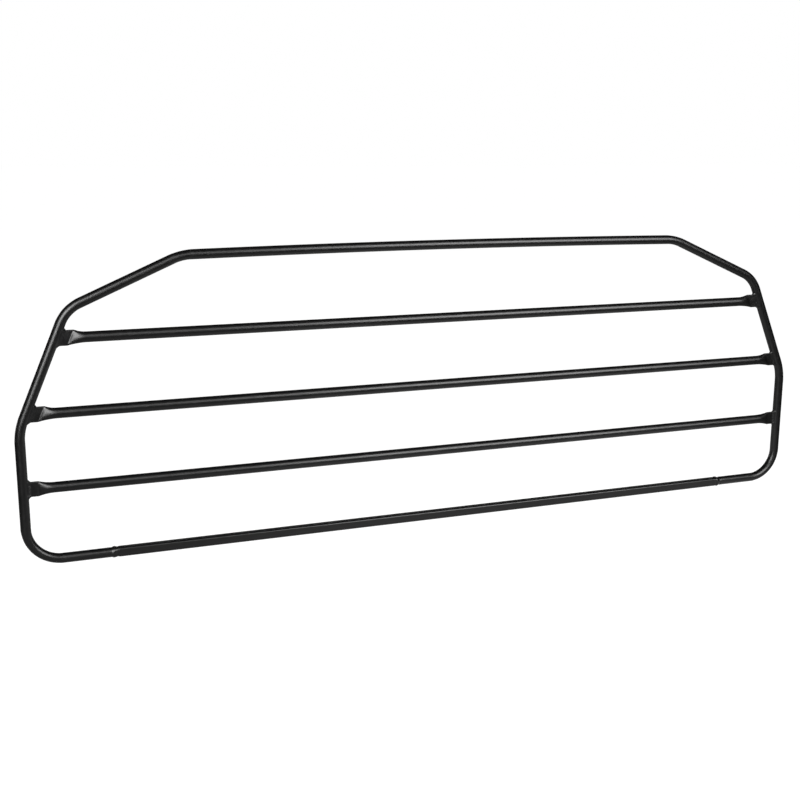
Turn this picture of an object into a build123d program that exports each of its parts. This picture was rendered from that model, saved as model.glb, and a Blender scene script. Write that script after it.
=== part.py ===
from build123d import *
import math
import os

# Headache rack: a bent tube hoop, three crossbars with pinched ends, a square bottom rail and the
# welds that join them.  Millimetres.  X runs along the width, Y is the tube depth, Z is up.
# Origin: middle of the width and depth of the bottom rail, on its flat underside.

# Tube stock: the hoop's tube is a little slimmer than the crossbars'
TUBE_OD = 16.0
BAR_OD = 16.8
TUBE_WALL = 1.5
TUBE_R = TUBE_OD / 2
BORE_R = TUBE_R - TUBE_WALL
BAR_R = BAR_OD / 2

# Bottom rail, centred on the line of the hoop's bottom run
RAIL_SIDE = 15.0
RAIL_CORNER_R = 3.0
RAIL_HALF_LENGTH = 569.5
AXIS_Z = RAIL_SIDE / 2

# Hoop outline: corner points of the tube centreline on the right-hand side, heights from the
# centreline of the bottom run
HALF_WIDTH = 710.0
LOWER_KNEE_Z = 211.0
UPPER_KNEE_X = 631.0
UPPER_KNEE_Z = 394.5
TOP_CORNER_X = 452.0
TOP_CORNER_Z = 472.0
TOP_CROWN_SLOPE = 0.9
BOTTOM_BEND_R = 54.0
LOWER_KNEE_R = 96.0
UPPER_KNEE_R = 59.0
TOP_BEND_R = 89.0
HOOP_END_X = 583.0

# Crossbars
LOWER_BAR_Z = 117.0
MIDDLE_BAR_Z = 235.0
UPPER_BAR_Z = 351.0
FLAT_HEIGHT = 24.4
FLAT_THICKNESS = 3.6
FLAT_GAP = FLAT_THICKNESS - 2 * TUBE_WALL
FLAT_LENGTH = 15.0
PINCH_LENGTH = 24.0
# Shares of the pinch where its outline is set.  The tube flattens with the square of the share,
# gently at first and steeply up to the crease, and its faces stay a little crowned until then.
PINCH_SHARES = (0.0, 0.35, 0.6, 0.8, 1.0)
PINCH_CURVE = 2.0
FACE_CROWN = 0.6
BEZIER_ARC = 0.5523

# Welds
ROOT_GAP = 0.3
FILLET_LEG = 3.8
FILLET_FACE_LEG = 3.0
# Bead outlines between the square rail and the round tube: X from the middle of the rack, size
# across the flats, and corner radius.  The left bead sits nearer the tube than the right one.
BEAD_START = (RAIL_HALF_LENGTH, RAIL_SIDE, RAIL_CORNER_R)
ROUND_TRIM = 0.05
BEAD_END = (HOOP_END_X, TUBE_OD, TUBE_R - ROUND_TRIM)
LEFT_BEAD = [(571.8, 14.2, 3.6), (576.9, 17.7, 7.4), (581.3, 15.9, 7.7)]
RIGHT_BEAD = [(571.4, 14.6, 3.6), (575.2, 17.7, 7.2), (580.4, 14.6, 7.0)]


def corner_points():
    """Corner points of the right half of the hoop centreline, bottom to top."""
    return [
        Vector(HALF_WIDTH, 0, AXIS_Z),
        Vector(HALF_WIDTH, 0, AXIS_Z + LOWER_KNEE_Z),
        Vector(UPPER_KNEE_X, 0, AXIS_Z + UPPER_KNEE_Z),
        Vector(TOP_CORNER_X, 0, AXIS_Z + TOP_CORNER_Z),
    ]


def bend_ends(before, corner, after, radius):
    """Start, middle and end of the bend that rounds one corner of the centreline."""
    back = (before - corner).normalized()
    ahead = (after - corner).normalized()
    half_angle = math.radians(back.get_angle(ahead)) / 2
    tangent = radius / math.tan(half_angle)
    centre_line = (back + ahead).normalized()
    centre = corner + centre_line * (radius / math.sin(half_angle))
    return corner + back * tangent, centre - centre_line * radius, corner + ahead * tangent


def mirrored(point):
    """The same point on the other side of the middle of the rack."""
    return Vector(-point.X, point.Y, point.Z)


def hoop_path():
    """Tube centreline from the right bottom end, up and over, to the left bottom end."""
    corners = corner_points()
    slope = math.radians(TOP_CROWN_SLOPE)
    crown_aim = corners[-1] + Vector(-math.cos(slope), 0, math.sin(slope))
    start = Vector(HOOP_END_X, 0, AXIS_Z)
    run = [start] + corners + [crown_aim]
    radii = [BOTTOM_BEND_R, LOWER_KNEE_R, UPPER_KNEE_R, TOP_BEND_R]
    bends = [bend_ends(run[i], run[i + 1], run[i + 2], radii[i]) for i in range(len(radii))]
    right = []
    left = []
    point = start
    for first, middle, last in bends:
        right += [Line(point, first), ThreePointArc(first, middle, last)]
        left += [
            Line(mirrored(first), mirrored(point)),
            ThreePointArc(mirrored(last), mirrored(middle), mirrored(first)),
        ]
        point = last
    rise = point.X * math.tan(slope / 2)
    crown = ThreePointArc(point, Vector(0, 0, point.Z + rise), mirrored(point))
    edges = [item.edge() for item in right + [crown] + left[::-1]]
    return Wire(edges)


def swept_rod(path, radius):
    """A round bar of one radius following the hoop centreline."""
    section = Plane(origin=path @ 0, z_dir=path % 0) * Circle(radius)
    return sweep(section, path=path)


def side_at(height):
    """X and lean (degrees from upright) of the hoop centreline at a crossbar height."""
    corners = corner_points()
    z = AXIS_Z + height
    if height < LOWER_KNEE_Z:
        return HALF_WIDTH, 0.0
    low, high = corners[1], corners[2]
    share = (z - low.Z) / (high.Z - low.Z)
    lean = math.degrees(math.atan2(low.X - high.X, high.Z - low.Z))
    return low.X + share * (high.X - low.X), lean


def oval_section(x, lean, flatness, half_height, half_thickness, round_r):
    """Tube outline between round (flatness 0) and pinched flat (flatness 1), leaning with the hoop."""
    diagonal = round_r * math.sqrt(0.5)
    handle = round_r * BEZIER_ARC * math.sqrt(0.5)
    flat_handle = half_thickness * 4 / 3
    shoulder = half_height - half_thickness
    z_corner = diagonal + flatness * (shoulder - diagonal)
    y_corner = diagonal + flatness * (half_thickness - diagonal)
    z_handle = handle + flatness * (flat_handle - handle)
    y_handle = handle * (1 - flatness) ** FACE_CROWN
    shear = -math.tan(math.radians(lean))

    def place(y, z):
        return Vector(x + z * shear, y, z)

    edges = [
        Bezier(
            place(y_corner, z_corner),
            place(y_corner - y_handle, z_corner + z_handle),
            place(-y_corner + y_handle, z_corner + z_handle),
            place(-y_corner, z_corner),
        ),
        Bezier(
            place(-y_corner, z_corner),
            place(-y_corner - y_handle, z_corner - z_handle),
            place(-y_corner - y_handle, -z_corner + z_handle),
            place(-y_corner, -z_corner),
        ),
        Bezier(
            place(-y_corner, -z_corner),
            place(-y_corner + y_handle, -z_corner - z_handle),
            place(y_corner - y_handle, -z_corner - z_handle),
            place(y_corner, -z_corner),
        ),
        Bezier(
            place(y_corner, -z_corner),
            place(y_corner + y_handle, -z_corner + z_handle),
            place(y_corner + y_handle, z_corner - z_handle),
            place(y_corner, z_corner),
        ),
    ]
    return Face(Wire([edge.edge() for edge in edges]))


def inner_face(height):
    """X where the hoop's inner face lies at a crossbar height, and the hoop's lean there."""
    side_x, lean = side_at(height)
    return side_x - TUBE_R / math.cos(math.radians(lean)), lean


def bar_ends(height):
    """X of the crossbar's last round section, its crease and its cut end, and the lean of the last two."""
    face_x, lean = inner_face(height)
    crease_x = face_x - FLAT_LENGTH
    return crease_x - PINCH_LENGTH, crease_x, face_x - ROOT_GAP, lean


def symmetric_bar(height, half_height, half_thickness, round_r, with_flats):
    """Solid from the outlines of a bar; without its flats it stops at the two creases."""
    round_x, crease_x, end_x, lean = bar_ends(height)
    steps = [(0, 0, 0)] + [
        (round_x + (crease_x - round_x) * share, lean * share, share ** PINCH_CURVE)
        for share in PINCH_SHARES
    ]
    if with_flats:
        steps.append((end_x, lean, 1))
    sizes = (half_height, half_thickness, round_r)
    half = loft([oval_section(x, tilt, flatness, *sizes) for x, tilt, flatness in steps], ruled=True)
    return half + mirror(half, Plane.YZ)


def bar_blank(height):
    """Solid crossbar, pinched flat at both ends."""
    return symmetric_bar(height, FLAT_HEIGHT / 2, FLAT_THICKNESS / 2, BAR_R, True)


def bar_bore(height):
    """Bore of the crossbar, which closes where the tube walls are pressed together at the crease."""
    half_height = FLAT_HEIGHT / 2 - TUBE_WALL
    return symmetric_bar(height, half_height, FLAT_GAP / 2, BAR_R - TUBE_WALL, False)


def fillet_weld(height, rod, blank, side):
    """Weld that wraps one pinched end and fills its root gap against the hoop tube."""
    face_x, lean = inner_face(height)
    root_x = face_x + TUBE_R / 2
    toe_x = face_x - FILLET_LEG
    growth = (root_x - toe_x) / (face_x - toe_x)
    toe = oval_section(toe_x, lean, 1, FLAT_HEIGHT / 2, FLAT_THICKNESS / 2, BAR_R)
    root = oval_section(
        root_x,
        lean,
        1,
        FLAT_HEIGHT / 2 + FILLET_LEG * growth,
        FLAT_THICKNESS / 2 + FILLET_FACE_LEG * growth,
        BAR_R,
    )
    ring = Pos(0, 0, AXIS_Z + height) * loft([toe, root], ruled=True)
    if side < 0:
        ring = mirror(ring, Plane.YZ)
    return ring - rod - blank


def rail_profile(inset):
    """Rounded square outline of the bottom rail, moved in from its outer face by the inset."""
    side = RAIL_SIDE - 2 * inset
    return RectangleRounded(side, side, RAIL_CORNER_R - inset)


def bottom_rail():
    """Square tube that closes the bottom of the hoop."""
    tube = extrude(rail_profile(0) - rail_profile(TUBE_WALL), 2 * RAIL_HALF_LENGTH)
    return Plane.YZ * Pos(0, AXIS_Z, -RAIL_HALF_LENGTH) * tube


def butt_weld(bead, side):
    """Full-depth weld between a round hoop end and the square rail, with a raised bead outside."""

    def outline(x, size, corner):
        return Plane.YZ * Pos(0, AXIS_Z, x) * RectangleRounded(size, size, corner)

    outside = loft([outline(*section) for section in [BEAD_START] + bead + [BEAD_END]])
    rail_bore = RAIL_SIDE - 2 * TUBE_WALL
    through = loft([
        outline(RAIL_HALF_LENGTH, rail_bore, RAIL_CORNER_R - TUBE_WALL),
        outline(HOOP_END_X, 2 * BORE_R, BORE_R - ROUND_TRIM),
    ], ruled=True)
    weld = outside - through
    if side < 0:
        weld = mirror(weld, Plane.YZ)
    return weld


def build():
    """Every piece of the rack, by node name."""
    path = hoop_path()
    rod = swept_rod(path, TUBE_R)
    pieces = {"perimeter_hoop": rod - swept_rod(path, BORE_R), "bottom_rail": bottom_rail()}
    for name, height in (("lower", LOWER_BAR_Z), ("middle", MIDDLE_BAR_Z), ("upper", UPPER_BAR_Z)):
        lift = Pos(0, 0, AXIS_Z + height)
        blank = lift * bar_blank(height)
        pieces["crossbar_" + name] = blank - lift * bar_bore(height)
        pieces["weld_" + name + "_left"] = fillet_weld(height, rod, blank, -1)
        pieces["weld_" + name + "_right"] = fillet_weld(height, rod, blank, 1)
    pieces["weld_bottom_left"] = butt_weld(LEFT_BEAD, -1)
    pieces["weld_bottom_right"] = butt_weld(RIGHT_BEAD, 1)
    return pieces


os.makedirs("parts", exist_ok=True)
for node, shape in build().items():
    export_step(shape, "parts/" + node + ".step")
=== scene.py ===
import math

import bmesh
import bpy
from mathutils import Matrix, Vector, noise


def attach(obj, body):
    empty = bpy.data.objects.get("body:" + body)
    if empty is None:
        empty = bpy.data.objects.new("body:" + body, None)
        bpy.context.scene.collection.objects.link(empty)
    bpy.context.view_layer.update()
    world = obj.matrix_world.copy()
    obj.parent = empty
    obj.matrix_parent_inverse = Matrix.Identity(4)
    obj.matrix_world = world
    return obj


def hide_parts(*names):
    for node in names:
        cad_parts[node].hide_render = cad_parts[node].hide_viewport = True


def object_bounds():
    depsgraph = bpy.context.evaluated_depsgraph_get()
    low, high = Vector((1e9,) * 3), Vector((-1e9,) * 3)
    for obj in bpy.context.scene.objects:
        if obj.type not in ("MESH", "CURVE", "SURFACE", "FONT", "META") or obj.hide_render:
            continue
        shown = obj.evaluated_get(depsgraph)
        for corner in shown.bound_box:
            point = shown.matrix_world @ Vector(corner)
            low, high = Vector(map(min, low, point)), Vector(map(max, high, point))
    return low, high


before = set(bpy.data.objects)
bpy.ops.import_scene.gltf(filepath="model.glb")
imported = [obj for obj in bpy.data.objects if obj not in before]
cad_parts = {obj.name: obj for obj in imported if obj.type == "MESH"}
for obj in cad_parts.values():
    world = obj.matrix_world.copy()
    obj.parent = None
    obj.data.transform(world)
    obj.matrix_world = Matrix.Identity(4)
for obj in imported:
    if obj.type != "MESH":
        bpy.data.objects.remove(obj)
cad_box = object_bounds()

MM = 0.001

# Tube stock, in millimetres until a mesh is made
TUBE_R = 8.0
BAR_R = 8.4
RAIL_SIDE = 15.0
RAIL_CORNER_R = 3.0
AXIS_Z = RAIL_SIDE / 2
RAIL_HALF_LENGTH = 569.5
HOOP_END_X = 583.0

# Hoop centreline: corners of the right half, bend radii, and the slope of the crowned top rail
HALF_WIDTH = 710.0
LOWER_KNEE_Z = 211.0
UPPER_KNEE = (631.0, 394.5)
TOP_CORNER = (452.0, 472.0)
CROWN_SLOPE = math.radians(0.9)
BEND_RADII = (54.0, 96.0, 59.0, 89.0)

# How far a bend squeezes the tube, as shares of its radius, and the run over which it sets in
OVAL_IN_PLANE = 0.035
OVAL_OUT_OF_PLANE = 0.015
OVAL_RUN_IN = 10.0

# Crossbars
BAR_HEIGHTS = {"lower": 117.0, "middle": 235.0, "upper": 351.0}
FLAT_HALF_HEIGHT = 12.2
FLAT_HALF_THICKNESS = 1.8
FLAT_LENGTH = 15.0
PINCH_LENGTH = 24.0
PINCH_CURVE = 2.0
FACE_CROWN = 0.6
CREASE_ROUNDING = 0.4
ROOT_GAP = 0.3
LOOPS_BEFORE_PINCH = (30.0, 6.0)
LOOP_PAST_CREASE = 1.6
LOOP_BEFORE_FACE = 5.0
BEZIER_ARC = 0.5523

# Fillet welds round the pinched ends
FILLET_LEG = 3.9
FILLET_FACE_LEG = 2.9
FILLET_HOLLOW = 0.45
FILLET_CROWN = 0.12
FILLET_ROOT = (1.2, -0.9)
FILLET_TAIL = 0.9
EDGE_START_Z = 7.0
EDGE_BLEND = 4.0
LEG_WOBBLE = 0.35
TOE_WOBBLE = 0.45
WOBBLE_SCALE = 0.35
RIPPLE_HEIGHT = 0.112
RIPPLE_PITCH = 2.1
RIPPLE_SWEEP = 2.2

# Butt welds of the hoop to the rail: (x, size across the flats, corner radius) of the bead outlines
LEFT_BEAD = [(571.8, 14.2, 3.6), (576.9, 17.7, 7.4), (581.3, 15.9, 7.7)]
RIGHT_BEAD = [(571.4, 14.6, 3.6), (575.2, 17.7, 7.2), (580.4, 14.6, 7.0)]
ROUND_TRIM = 0.01
BEAD_SLANT = 0.5
BEAD_SLANT_TURN = 0.3
BEAD_SLANT_RUN_IN = 3.0
BEAD_RIPPLE = 0.1
BEAD_RIPPLE_COUNT = 14
BEAD_RIPPLE_TWIST = 1.3
BEAD_MIDDLE_X = 576.0
BEAD_LUMP = 0.22
BEAD_LUMP_SCALE = 0.3
BEAD_RISE_FROM = 14.5
BEAD_RISE = 3.0
BEAD_RUN_IN = 2.0

# Mesh fineness
RING = 64
STRAIGHT_STEP = 40.0
MIN_STRAIGHT_STEPS = 2
BEND_STEP = math.radians(1.5)
CROWN_STEPS = 48
PINCH_STEPS = 24
RAIL_STEPS = 12
RAIL_END_LOOP = 1.0
FILLET_STEPS = 12
FILLET_SPACING = 0.35
BEAD_STEPS = 7
SHARP_ANGLE = math.radians(50)

# Powder coat
DARK_BLACK = (0.0018, 0.0018, 0.0019, 1)
LIGHT_BLACK = (0.0034, 0.0033, 0.0032, 1)
COAT_ROUGHNESS = (0.29, 0.37)
COAT_IOR = 1.5
NOISE_RANGE = (0.3, 0.7)
CLOUD_SCALE = 35.0
PATCH_SCALE = 120.0
PEEL_SCALE = 900.0
PEEL_STRENGTH = 0.07
PEEL_DEPTH = 0.00012
FINE_SCALE = 3200.0
FINE_STRENGTH = 0.05
FINE_STRENGTH_ON_WELDS = 0.12
FINE_DEPTH = 0.00004

# Studio, in metres
FLOOR_HALF = 30.0
FLOOR_GREY = 0.12
FLOOR_GLOW = 8.35
FLOOR_ROUGHNESS = 0.9
DOME_R = 40.0
DOME_LOW, DOME_HIGH = -4, 90
DOME_RINGS = 13
DOME_SIDES = 48
DOME_TIP_R = 0.05
CARD_HALF = (0.9, 0.65)
CARD_GLOW = 0.62
CARD_EDGE_SHARE = 0.3
CARD_DROP = 0.002
CARD_LEFT = ((-0.75, -0.05), (0.45, 1.0))
CARD_RIGHT = ((0.55, 0.9), (1.0, 0.2))
CARD_DEPTH = (0.12, 0.55)
GROUND_BELOW = ((-0.05, -0.55), (0.0, 1.0))
GROUND_ACROSS = (0.0, 0.5)
GROUND_GLOW = (0.12, 0.2)
UPPER_GLOW = 0.003

# Two wide softboxes beside the camera, a dim one between them, and a long low strip behind:
# name, position, target, width, height, radiance
SOFTBOXES = (
    ("softbox_right", (0.93, -1.4, 1.1), (0.75, 0, 0.3), 1.4, 1.1, 8.4),
    ("softbox_left", (-1.6, -1.4, 1.02), (-1.2, 0, 0.3), 1.3, 1.35, 11.3),
    ("softbox_fill", (-0.3, -1.5, 1.2), (-0.3, 0, 0.3), 0.7, 1.0, 1.5),
    ("strip_back", (0, 2.4, 0.12), (0, 0, 0.12), 6.0, 0.22, 3.0),
)

# Camera: metres, then degrees about X, Y and Z, then millimetres of lens and sensor
CAMERA_POSITION = (-0.794606, -1.834916, 0.650544)
CAMERA_ANGLES = (77.6471, -0.1653, -21.0905)
CAMERA_LENS = 52.80
CAMERA_SENSOR = 36.0
CAMERA_REACH = 200


def smooth(t):
    """Smooth step from 0 to 1."""
    t = min(max(t, 0.0), 1.0)
    return t * t * (3 - 2 * t)


def make_object(name, verts, faces, material):
    """A smooth-shaded closed piece facing outwards, from millimetres in the shared frame."""
    mesh = bpy.data.meshes.new(name)
    mesh.from_pydata([(x * MM, y * MM, z * MM) for x, y, z in verts], [], faces)
    mesh.validate()
    shell = bmesh.new()
    shell.from_mesh(mesh)
    if shell.calc_volume(signed=True) < 0:
        bmesh.ops.reverse_faces(shell, faces=shell.faces)
    shell.to_mesh(mesh)
    shell.free()
    mesh.shade_smooth()
    mesh.set_sharp_from_angle(angle=SHARP_ANGLE)
    mesh.materials.append(material)
    obj = bpy.data.objects.new(name, mesh)
    bpy.context.scene.collection.objects.link(obj)
    return obj


def skin(rings, closed_length=False):
    """Vertices and faces that join equal rings of points; the ends are capped unless it is a loop."""
    size = len(rings[0])
    verts = [p for ring in rings for p in ring]
    faces = []
    spans = len(rings) if closed_length else len(rings) - 1
    for i in range(spans):
        a = i * size
        b = ((i + 1) % len(rings)) * size
        for j in range(size):
            k = (j + 1) % size
            faces.append((a + j, a + k, b + k, b + j))
    if not closed_length:
        faces.append(tuple(range(size - 1, -1, -1)))
        last = (len(rings) - 1) * size
        faces.append(tuple(range(last, last + size)))
    return verts, faces


def place_piece(obj, node):
    """The piece stands for one CAD node: it hangs from the root body, and that CAD part is hidden."""
    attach(obj, "root")
    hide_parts(node)


# ---- the hoop ----

def half_corners():
    """Centreline points of the right half, bottom to top: tube end, four corners, aim of the crown."""
    corners = [
        Vector((HALF_WIDTH, 0, AXIS_Z)),
        Vector((HALF_WIDTH, 0, AXIS_Z + LOWER_KNEE_Z)),
        Vector((UPPER_KNEE[0], 0, AXIS_Z + UPPER_KNEE[1])),
        Vector((TOP_CORNER[0], 0, AXIS_Z + TOP_CORNER[1])),
    ]
    aim = corners[-1] + Vector((-math.cos(CROWN_SLOPE), 0, math.sin(CROWN_SLOPE)))
    return [Vector((HOOP_END_X, 0, AXIS_Z))] + corners + [aim]


def add_straight(stations, start, end):
    """Stations along a straight run, without its first point."""
    count = max(MIN_STRAIGHT_STEPS, int((end - start).length / STRAIGHT_STEP))
    tangent = (end - start).normalized()
    for i in range(1, count + 1):
        stations.append((start.lerp(end, i / count), tangent, 0.0))


def add_bend(stations, before, corner, after, radius):
    """Stations up to and round one bend, each with how far the tube is squeezed; returns the bend's end."""
    back = (before - corner).normalized()
    ahead = (after - corner).normalized()
    half = back.angle(ahead) / 2
    tangent = radius / math.tan(half)
    centre = corner + (back + ahead).normalized() * (radius / math.sin(half))
    first = corner + back * tangent
    add_straight(stations, stations[-1][0], first)
    turn = math.pi - 2 * half
    count = int(turn / BEND_STEP)
    arm = first - centre
    sign = 1 if arm.cross(-back).y > 0 else -1
    for i in range(1, count + 1):
        along = i / count
        angle = sign * turn * along
        spun = Vector((
            arm.x * math.cos(angle) + arm.z * math.sin(angle),
            0,
            -arm.x * math.sin(angle) + arm.z * math.cos(angle),
        ))
        heading = Vector((spun.z, 0, -spun.x)).normalized() * sign
        squeeze = smooth(min(along, 1 - along) * turn * radius / OVAL_RUN_IN)
        stations.append((centre + spun, heading, squeeze))
    return corner + ahead * tangent


def hoop_stations():
    """Points, directions and squeeze along the whole hoop, right end to left end."""
    run = half_corners()
    right = [(run[0], Vector((1, 0, 0)), 0.0)]
    for i, radius in enumerate(BEND_RADII):
        last = add_bend(right, run[i], run[i + 1], run[i + 2], radius)
    crown_r = last.x / math.sin(CROWN_SLOPE)
    crown = []
    for i in range(1, CROWN_STEPS):
        x = last.x * (1 - 2 * i / CROWN_STEPS)
        lean = math.asin(x / crown_r)
        z = last.z + crown_r * (math.cos(lean) - math.cos(CROWN_SLOPE))
        crown.append((Vector((x, 0, z)), Vector((-math.cos(lean), 0, math.sin(lean))), 0.0))
    left = [
        (Vector((-point.x, 0, point.z)), Vector((heading.x, 0, -heading.z)), squeeze)
        for point, heading, squeeze in reversed(right)
    ]
    return right + crown + left


def build_hoop(material):
    """Bent tube, a little flattened in its bends."""
    rings = []
    for point, heading, squeeze in hoop_stations():
        side = Vector((heading.z, 0, -heading.x))
        r_in = TUBE_R * (1 - OVAL_IN_PLANE * squeeze)
        r_out = TUBE_R * (1 + OVAL_OUT_OF_PLANE * squeeze)
        ring = []
        for j in range(RING):
            a = 2 * math.pi * j / RING
            ring.append(tuple(point + side * (r_in * math.cos(a)) + Vector((0, r_out * math.sin(a), 0))))
        rings.append(ring)
    return make_object("hoop_tube", *skin(rings), material)


# ---- crossbars ----

def hoop_side(height):
    """X of the hoop's inner face at a bar's height, and the tangent of the hoop's lean."""
    if height < LOWER_KNEE_Z:
        return HALF_WIDTH - TUBE_R, 0.0
    slope = (HALF_WIDTH - UPPER_KNEE[0]) / (UPPER_KNEE[1] - LOWER_KNEE_Z)
    axis_x = HALF_WIDTH - (height - LOWER_KNEE_Z) * slope
    return axis_x - TUBE_R * math.sqrt(1 + slope * slope), slope


def bezier(p0, p1, p2, p3, t):
    """Point on a cubic curve."""
    u = 1 - t
    return tuple(
        u * u * u * a + 3 * u * u * t * b + 3 * u * t * t * c + t * t * t * d
        for a, b, c, d in zip(p0, p1, p2, p3)
    )


def oval(flatness):
    """Tube outline as (y, z) points, from 0 (round) to 1 (pinched flat)."""
    diagonal = BAR_R * math.sqrt(0.5)
    handle = BAR_R * BEZIER_ARC * math.sqrt(0.5)
    z = diagonal + flatness * (FLAT_HALF_HEIGHT - FLAT_HALF_THICKNESS - diagonal)
    y = diagonal + flatness * (FLAT_HALF_THICKNESS - diagonal)
    dz = handle + flatness * (FLAT_HALF_THICKNESS * 4 / 3 - handle)
    dy = handle * (1 - flatness) ** FACE_CROWN
    curves = [
        ((y, z), (y - dy, z + dz), (-y + dy, z + dz), (-y, z)),
        ((-y, z), (-y - dy, z - dz), (-y - dy, -z + dz), (-y, -z)),
        ((-y, -z), (-y + dy, -z - dz), (y - dy, -z - dz), (y, -z)),
        ((y, -z), (y + dy, -z + dz), (y + dy, z - dz), (y, z)),
    ]
    count = RING // 4
    return [bezier(*curve, i / count) for curve in curves for i in range(count)]


def pinch_profile(height):
    """(x, lean share, flatness) along the right half of a bar, middle outwards, and the hoop's slope."""
    face_x, slope = hoop_side(height)
    crease = face_x - FLAT_LENGTH
    start = crease - PINCH_LENGTH
    far, near = LOOPS_BEFORE_PINCH
    rows = [(x, 0.0, 0.0) for x in (0.0, start / 2, start - far, start - near)]
    for i in range(PINCH_STEPS + 1):
        u = (1 - CREASE_ROUNDING / PINCH_LENGTH) * i / PINCH_STEPS
        rows.append((start + PINCH_LENGTH * u, smooth(u), u ** PINCH_CURVE))
    flat_start = (crease + CREASE_ROUNDING, crease + LOOP_PAST_CREASE)
    flat_end = (face_x - LOOP_BEFORE_FACE, face_x - ROOT_GAP)
    rows += [(x, 1.0, 1.0) for x in flat_start + flat_end]
    return rows, slope


def build_bar(name, material):
    """Round tube pinched flat at both ends, the ends cut to the hoop's lean."""
    height = BAR_HEIGHTS[name]
    rows, slope = pinch_profile(height)
    stations = [(-x, -share, flatness) for x, share, flatness in reversed(rows[1:])] + rows
    rings = [
        [(x - z * slope * share, y, AXIS_Z + height + z) for y, z in oval(flatness)]
        for x, share, flatness in stations
    ]
    return make_object("bar_" + name, *skin(rings), material)


# ---- bottom rail ----

def rounded_square(size, corner):
    """Outline of a rounded square as (y, z) points, evenly many on each quarter."""
    half = size / 2
    flat = half - corner
    arc_points = RING // 8
    flat_points = RING // 4 - arc_points
    side = [(half, -flat + 2 * flat * i / flat_points) for i in range(flat_points)]
    for i in range(arc_points):
        a = math.pi / 2 * i / arc_points
        side.append((flat + corner * math.cos(a), flat + corner * math.sin(a)))
    points = []
    for quarter in range(4):
        turn = quarter * math.pi / 2
        c, s = math.cos(turn), math.sin(turn)
        points += [(y * c - z * s, y * s + z * c) for y, z in side]
    return points


def build_rail(material):
    """Square tube with rounded corners."""
    inner = [RAIL_HALF_LENGTH * i / RAIL_STEPS for i in range(1 - RAIL_STEPS, RAIL_STEPS)]
    end_loop = RAIL_HALF_LENGTH - RAIL_END_LOOP
    xs = [-RAIL_HALF_LENGTH, -end_loop] + inner + [end_loop, RAIL_HALF_LENGTH]
    outline = rounded_square(RAIL_SIDE, RAIL_CORNER_R)
    rings = [[(x, y, AXIS_Z + z) for y, z in outline] for x in xs]
    return make_object("rail_tube", *skin(rings), material)


# ---- welds ----

def resampled(outline, spacing):
    """The same closed outline with more points, about one spacing apart."""
    dense = []
    for (y0, z0), (y1, z1) in zip(outline, outline[1:] + outline[:1]):
        pieces = max(1, int(math.hypot(y1 - y0, z1 - z0) / spacing))
        dense += [(y0 + (y1 - y0) * k / pieces, z0 + (z1 - z0) * k / pieces) for k in range(pieces)]
    return dense


def fillet_profile(leg, toe, run):
    """(along the bar, away from its skin) points of one cut through the bead, from its root."""
    profile = [FILLET_ROOT]
    for k in range(FILLET_STEPS + 1):
        q = k / FILLET_STEPS
        a = q * math.pi / 2
        bulge = math.sin(math.pi * q)
        along = -toe * ((1 - FILLET_HOLLOW) * (1 - q) + FILLET_HOLLOW * (1 - math.sin(a)))
        away = leg * ((1 - FILLET_HOLLOW) * q + FILLET_HOLLOW * (1 - math.cos(a)))
        ripple = RIPPLE_HEIGHT * bulge * math.sin(2 * math.pi * run / RIPPLE_PITCH - RIPPLE_SWEEP * bulge)
        profile.append((along - ripple, away + ripple + FILLET_CROWN * bulge))
    return profile


def build_fillet(name, side, material):
    """Weld bead that wraps one pinched end, rippled along its run."""
    height = BAR_HEIGHTS[name]
    face_x, slope = hoop_side(height)
    stretch = math.sqrt(1 + slope * slope)

    def recess(y):
        return (TUBE_R - math.sqrt(TUBE_R * TUBE_R - y * y)) * stretch

    def place(x, y, z):
        return side * (x - z * slope), y, AXIS_Z + height + z

    dense = resampled(oval(1.0), FILLET_SPACING)
    seed = Vector((height, side * 31.0, 7.0))  # its own patch of noise
    run = 0.0
    rings = []
    for i, (y, z) in enumerate(dense):
        ya, za = dense[i - 1]
        yb, zb = dense[(i + 1) % len(dense)]
        length = math.hypot(yb - ya, zb - za)
        ny, nz = (zb - za) / length, (ya - yb) / length
        run += math.hypot(y - ya, z - za)
        edge = smooth((abs(z) - EDGE_START_Z) / EDGE_BLEND)
        wobble = noise.noise(Vector((y * WOBBLE_SCALE, z * WOBBLE_SCALE, 0)) + seed)
        leg = FILLET_FACE_LEG + (FILLET_LEG - FILLET_FACE_LEG) * edge + LEG_WOBBLE * wobble
        toe = FILLET_LEG + TOE_WOBBLE * wobble
        points = []
        for along, away in fillet_profile(leg, toe, run):
            py, pz = y + ny * away, z + nz * away
            points.append(place(face_x + along + recess(py) * smooth(away / leg), py, pz))
        py, pz = y + ny * leg, z + nz * leg
        points.append(place(face_x + recess(py) + FILLET_TAIL, py, pz))
        rings.append(points)
    end = "_left" if side < 0 else "_right"
    return make_object("fillet_" + name + end, *skin(rings, True), material)


def catmull(a, b, c, d, t):
    """Value on the smooth curve through b and c."""
    linear = (c - a) * t
    square = (2 * a - 5 * b + 4 * c - d) * t * t
    cube = (3 * b - a - 3 * c + d) * t ** 3
    return 0.5 * (2 * b + linear + square + cube)


def away_from_ends(x, run_in):
    """0 at the bead's two ends, rising to 1 over the run-in."""
    return smooth((x - RAIL_HALF_LENGTH) / run_in) * smooth((HOOP_END_X - x) / run_in)


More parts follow.
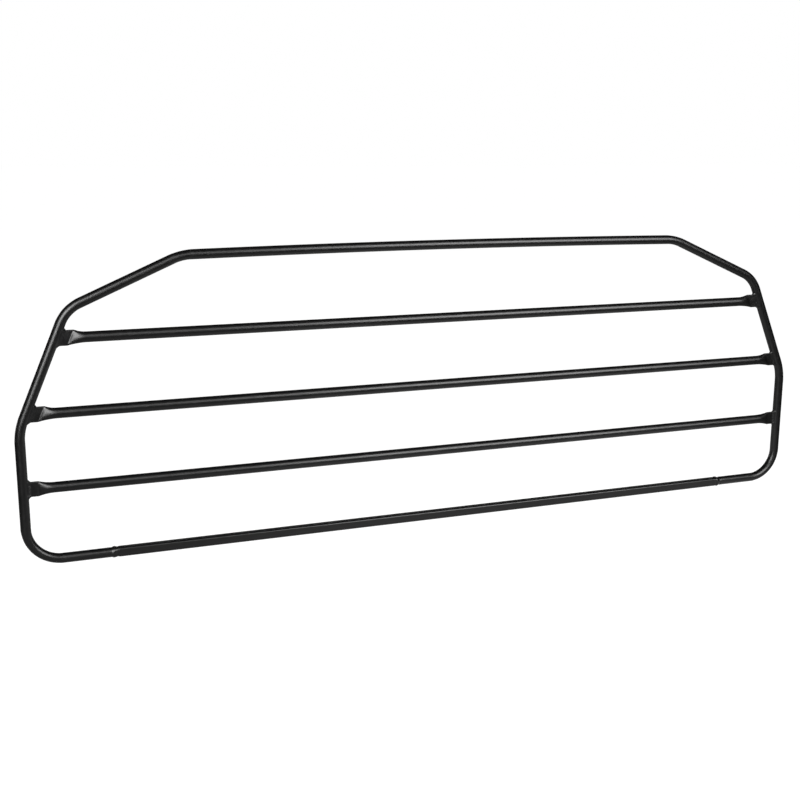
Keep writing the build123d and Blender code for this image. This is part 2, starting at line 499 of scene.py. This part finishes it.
def bead_ring(side, x, size, corner, seed):
    """One ring of the bead: slanted, rippled and a little lumpy where it stands proud."""
    slant_share = BEAD_SLANT * away_from_ends(x, BEAD_SLANT_RUN_IN)
    raised = smooth((size - BEAD_RISE_FROM) / BEAD_RISE) * away_from_ends(x, BEAD_RUN_IN)
    ring = []
    for y, z in rounded_square(size, corner):
        a = math.atan2(z, y)
        slant = -slant_share * math.sin(a + BEAD_SLANT_TURN)
        ripple = BEAD_RIPPLE * math.sin(BEAD_RIPPLE_COUNT * a + BEAD_RIPPLE_TWIST * (x - BEAD_MIDDLE_X))
        spot = Vector((y * BEAD_LUMP_SCALE, z * BEAD_LUMP_SCALE, x * BEAD_LUMP_SCALE))
        lump = BEAD_LUMP * noise.noise(spot + seed)
        grow = 1 + (ripple + lump) * raised / (size / 2)
        ring.append((side * (x + slant), y * grow, AXIS_Z + z * grow))
    return ring


def build_bead(side, bead, material):
    """Bead between the square rail and the round tube."""
    start = (RAIL_HALF_LENGTH, RAIL_SIDE, RAIL_CORNER_R)
    end = (HOOP_END_X, 2 * TUBE_R, TUBE_R - ROUND_TRIM)
    keys = [start, start] + bead + [end, end]
    spots = [(i, k / BEAD_STEPS) for i in range(1, len(keys) - 2) for k in range(BEAD_STEPS)]
    spots.append((len(keys) - 3, 1.0))
    seed = Vector((side * 11.0, 3.0, 5.0))  # its own patch of noise
    rings = []
    for i, t in spots:
        x, size, corner = (catmull(*values, t) for values in zip(*keys[i - 1:i + 3]))
        rings.append(bead_ring(side, x, size, min(corner, size / 2 - ROUND_TRIM), seed))
    return make_object("bead_bottom" + ("_left" if side < 0 else "_right"), *skin(rings), material)


# ---- powder coat ----

def powder_coat(name, fine_strength):
    """Satin black powder coat: orange-peel bump, faint mottling and slightly uneven gloss."""
    mat = bpy.data.materials.new(name)
    mat.use_nodes = True
    nodes, links = mat.node_tree.nodes, mat.node_tree.links
    nodes.clear()
    out = nodes.new("ShaderNodeOutputMaterial")
    shader = nodes.new("ShaderNodeBsdfPrincipled")
    links.new(shader.outputs["BSDF"], out.inputs["Surface"])
    coord = nodes.new("ShaderNodeTexCoord")

    def grain(scale, detail):
        tex = nodes.new("ShaderNodeTexNoise")
        tex.inputs["Scale"].default_value = scale
        tex.inputs["Detail"].default_value = detail
        links.new(coord.outputs["Object"], tex.inputs["Vector"])
        return tex.outputs["Fac"]

    def spread(source, low, high):
        ramp = nodes.new("ShaderNodeMapRange")
        ramp.inputs["From Min"].default_value, ramp.inputs["From Max"].default_value = NOISE_RANGE
        ramp.inputs["To Min"].default_value = low
        ramp.inputs["To Max"].default_value = high
        links.new(source, ramp.inputs["Value"])
        return ramp.outputs["Result"]

    def bump(height, strength, depth):
        node = nodes.new("ShaderNodeBump")
        node.inputs["Strength"].default_value = strength
        node.inputs["Distance"].default_value = depth
        links.new(height, node.inputs["Height"])
        return node

    tint = nodes.new("ShaderNodeMix")
    tint.data_type = "RGBA"
    tint.inputs["A"].default_value = DARK_BLACK
    tint.inputs["B"].default_value = LIGHT_BLACK
    links.new(spread(grain(CLOUD_SCALE, 4.0), 0.0, 1.0), tint.inputs["Factor"])
    links.new(tint.outputs["Result"], shader.inputs["Base Color"])
    links.new(spread(grain(PATCH_SCALE, 3.0), *COAT_ROUGHNESS), shader.inputs["Roughness"])
    shader.inputs["IOR"].default_value = COAT_IOR
    shader.inputs["Specular IOR Level"].default_value = 0.5

    peel = bump(grain(PEEL_SCALE, 2.0), PEEL_STRENGTH, PEEL_DEPTH)
    fine = bump(grain(FINE_SCALE, 1.0), fine_strength, FINE_DEPTH)
    links.new(peel.outputs["Normal"], fine.inputs["Normal"])
    links.new(fine.outputs["Normal"], shader.inputs["Normal"])
    return mat


# ---- the stage ----

def matt_glow(name, grey, strength):
    """Matt grey that also glows."""
    mat = bpy.data.materials.new(name)
    mat.use_nodes = True
    shader = mat.node_tree.nodes["Principled BSDF"]
    shader.inputs["Base Color"].default_value = (grey, grey, grey, 1)
    shader.inputs["Roughness"].default_value = FLOOR_ROUGHNESS
    shader.inputs["Specular IOR Level"].default_value = 0.0
    shader.inputs["Emission Color"].default_value = (grey, grey, grey, 1)
    shader.inputs["Emission Strength"].default_value = strength
    return mat


def glow_material(name):
    """Plain light-giving surface; returns it with its node tree and the emission node."""
    mat = bpy.data.materials.new(name)
    mat.use_nodes = True
    tree = mat.node_tree
    tree.nodes.clear()
    out = tree.nodes.new("ShaderNodeOutputMaterial")
    emit = tree.nodes.new("ShaderNodeEmission")
    tree.links.new(emit.outputs["Emission"], out.inputs["Surface"])
    return mat, tree, emit


def stage_object(name, verts, faces, material):
    """A piece of the studio."""
    mesh = bpy.data.meshes.new(name)
    mesh.from_pydata(verts, [], faces)
    mesh.materials.append(material)
    obj = bpy.data.objects.new(name, mesh)
    bpy.context.scene.collection.objects.link(obj)
    return obj


def sheet(half_x, half_y):
    """Corners and face of a level rectangle."""
    corners = [(-half_x, -half_y, 0), (half_x, -half_y, 0), (half_x, half_y, 0), (-half_x, half_y, 0)]
    return corners, [(0, 1, 2, 3)]


def map_smooth(nodes, links, source, ends, values):
    """Smooth step of a node's output from one pair of values to another."""
    ramp = nodes.new("ShaderNodeMapRange")
    ramp.interpolation_type = "SMOOTHSTEP"
    ramp.inputs["From Min"].default_value, ramp.inputs["From Max"].default_value = ends
    ramp.inputs["To Min"].default_value, ramp.inputs["To Max"].default_value = values
    links.new(source, ramp.inputs["Value"])
    return ramp.outputs["Result"]


def add_stage(low_z):
    """A pale floor, and a pale surround that only the camera sees."""
    white = matt_glow("floor_white", FLOOR_GREY, FLOOR_GLOW)
    floor = stage_object("floor", *sheet(FLOOR_HALF, FLOOR_HALF), white)
    floor.location = (0, 0, low_z)
    floor.visible_glossy = False
    floor.visible_diffuse = False

    rings = []
    for i in range(DOME_RINGS):
        lift = math.radians(DOME_LOW + (DOME_HIGH - DOME_LOW) * i / (DOME_RINGS - 1))
        ring_r = max(DOME_R * math.cos(lift), DOME_TIP_R)
        turns = [2 * math.pi * j / DOME_SIDES for j in range(DOME_SIDES)]
        rings.append([(ring_r * math.cos(t), ring_r * math.sin(t), DOME_R * math.sin(lift)) for t in turns])
    glow, _, emit = glow_material("surround_white")
    emit.inputs["Strength"].default_value = 1.0
    dome = stage_object("surround", *skin(rings), glow)
    dome.visible_glossy = False
    dome.visible_diffuse = False
    dome.visible_transmission = False
    dome.visible_shadow = False


def add_card(low_z):
    """White bounce card under the object, bright in the middle; it shows only in reflections."""
    mat, tree, emit = glow_material("bounce_card")
    nodes, links = tree.nodes, tree.links
    coord = nodes.new("ShaderNodeTexCoord")
    split = nodes.new("ShaderNodeSeparateXYZ")
    links.new(coord.outputs["Object"], split.inputs["Vector"])
    depth = nodes.new("ShaderNodeMath")
    depth.operation = "ABSOLUTE"
    links.new(split.outputs["Y"], depth.inputs[0])

    def product(first, second):
        node = nodes.new("ShaderNodeMath")
        node.operation = "MULTIPLY"
        links.new(first, node.inputs[0])
        links.new(second, node.inputs[1])
        return node.outputs[0]

    left = map_smooth(nodes, links, split.outputs["X"], *CARD_LEFT)
    right = map_smooth(nodes, links, split.outputs["X"], *CARD_RIGHT)
    glow = (CARD_GLOW, CARD_GLOW * CARD_EDGE_SHARE)
    near = map_smooth(nodes, links, depth.outputs[0], CARD_DEPTH, glow)
    links.new(product(product(left, right), near), emit.inputs["Strength"])
    card = stage_object("bounce_card", *sheet(*CARD_HALF), mat)
    card.location = (0, 0, low_z - CARD_DROP)
    card.visible_camera = False
    card.visible_diffuse = False
    card.visible_transmission = False
    card.visible_shadow = False


def softbox(name, position, target, width, height, radiance):
    """A rectangular soft light of even radiance, facing the target."""
    light = bpy.data.lights.new(name, "AREA")
    light.shape = "RECTANGLE"
    light.size = width
    light.size_y = height
    light.energy = radiance * math.pi * width * height
    obj = bpy.data.objects.new(name, light)
    obj.location = position
    obj.rotation_euler = (Vector(target) - Vector(position)).to_track_quat("-Z", "Y").to_euler()
    obj.visible_camera = False
    bpy.context.scene.collection.objects.link(obj)


def add_world():
    """Dark studio above, with the dim glow of a pale ground that is brighter towards the right."""
    world = bpy.data.worlds.new("studio")
    world.use_nodes = True
    nodes, links = world.node_tree.nodes, world.node_tree.links
    coord = nodes.new("ShaderNodeTexCoord")
    split = nodes.new("ShaderNodeSeparateXYZ")
    links.new(coord.outputs["Generated"], split.inputs["Vector"])
    below = map_smooth(nodes, links, split.outputs["Z"], *GROUND_BELOW)
    across = map_smooth(nodes, links, split.outputs["X"], GROUND_ACROSS, GROUND_GLOW)
    glow = nodes.new("ShaderNodeMath")
    glow.operation = "MULTIPLY_ADD"
    links.new(below, glow.inputs[0])
    links.new(across, glow.inputs[1])
    glow.inputs[2].default_value = UPPER_GLOW
    links.new(glow.outputs[0], nodes["Background"].inputs["Strength"])
    nodes["Background"].inputs["Color"].default_value = (1, 1, 1, 1)
    bpy.context.scene.world = world


def add_camera():
    """Camera a little above the rack, turned so that its left end is nearer."""
    cam = bpy.data.cameras.new("camera")
    cam.sensor_width = CAMERA_SENSOR
    cam.lens = CAMERA_LENS
    cam.clip_end = CAMERA_REACH
    obj = bpy.data.objects.new("camera", cam)
    obj.location = CAMERA_POSITION
    obj.rotation_euler = [math.radians(angle) for angle in CAMERA_ANGLES]
    bpy.context.scene.collection.objects.link(obj)
    bpy.context.scene.camera = obj


coat = powder_coat("black_powder_coat", FINE_STRENGTH)
weld_coat = powder_coat("black_powder_coat_weld", FINE_STRENGTH_ON_WELDS)

place_piece(build_hoop(coat), "perimeter_hoop")
place_piece(build_rail(coat), "bottom_rail")
for bar in BAR_HEIGHTS:
    place_piece(build_bar(bar, coat), "crossbar_" + bar)
    place_piece(build_fillet(bar, -1, weld_coat), "weld_" + bar + "_left")
    place_piece(build_fillet(bar, 1, weld_coat), "weld_" + bar + "_right")
place_piece(build_bead(-1, LEFT_BEAD, weld_coat), "weld_bottom_left")
place_piece(build_bead(1, RIGHT_BEAD, weld_coat), "weld_bottom_right")

add_stage(cad_box[0][2])
add_card(cad_box[0][2])
add_world()
for box in SOFTBOXES:
    softbox(*box)
add_camera()
bpy.context.scene.view_settings.view_transform = "Standard"
bpy.context.scene.view_settings.look = "None"
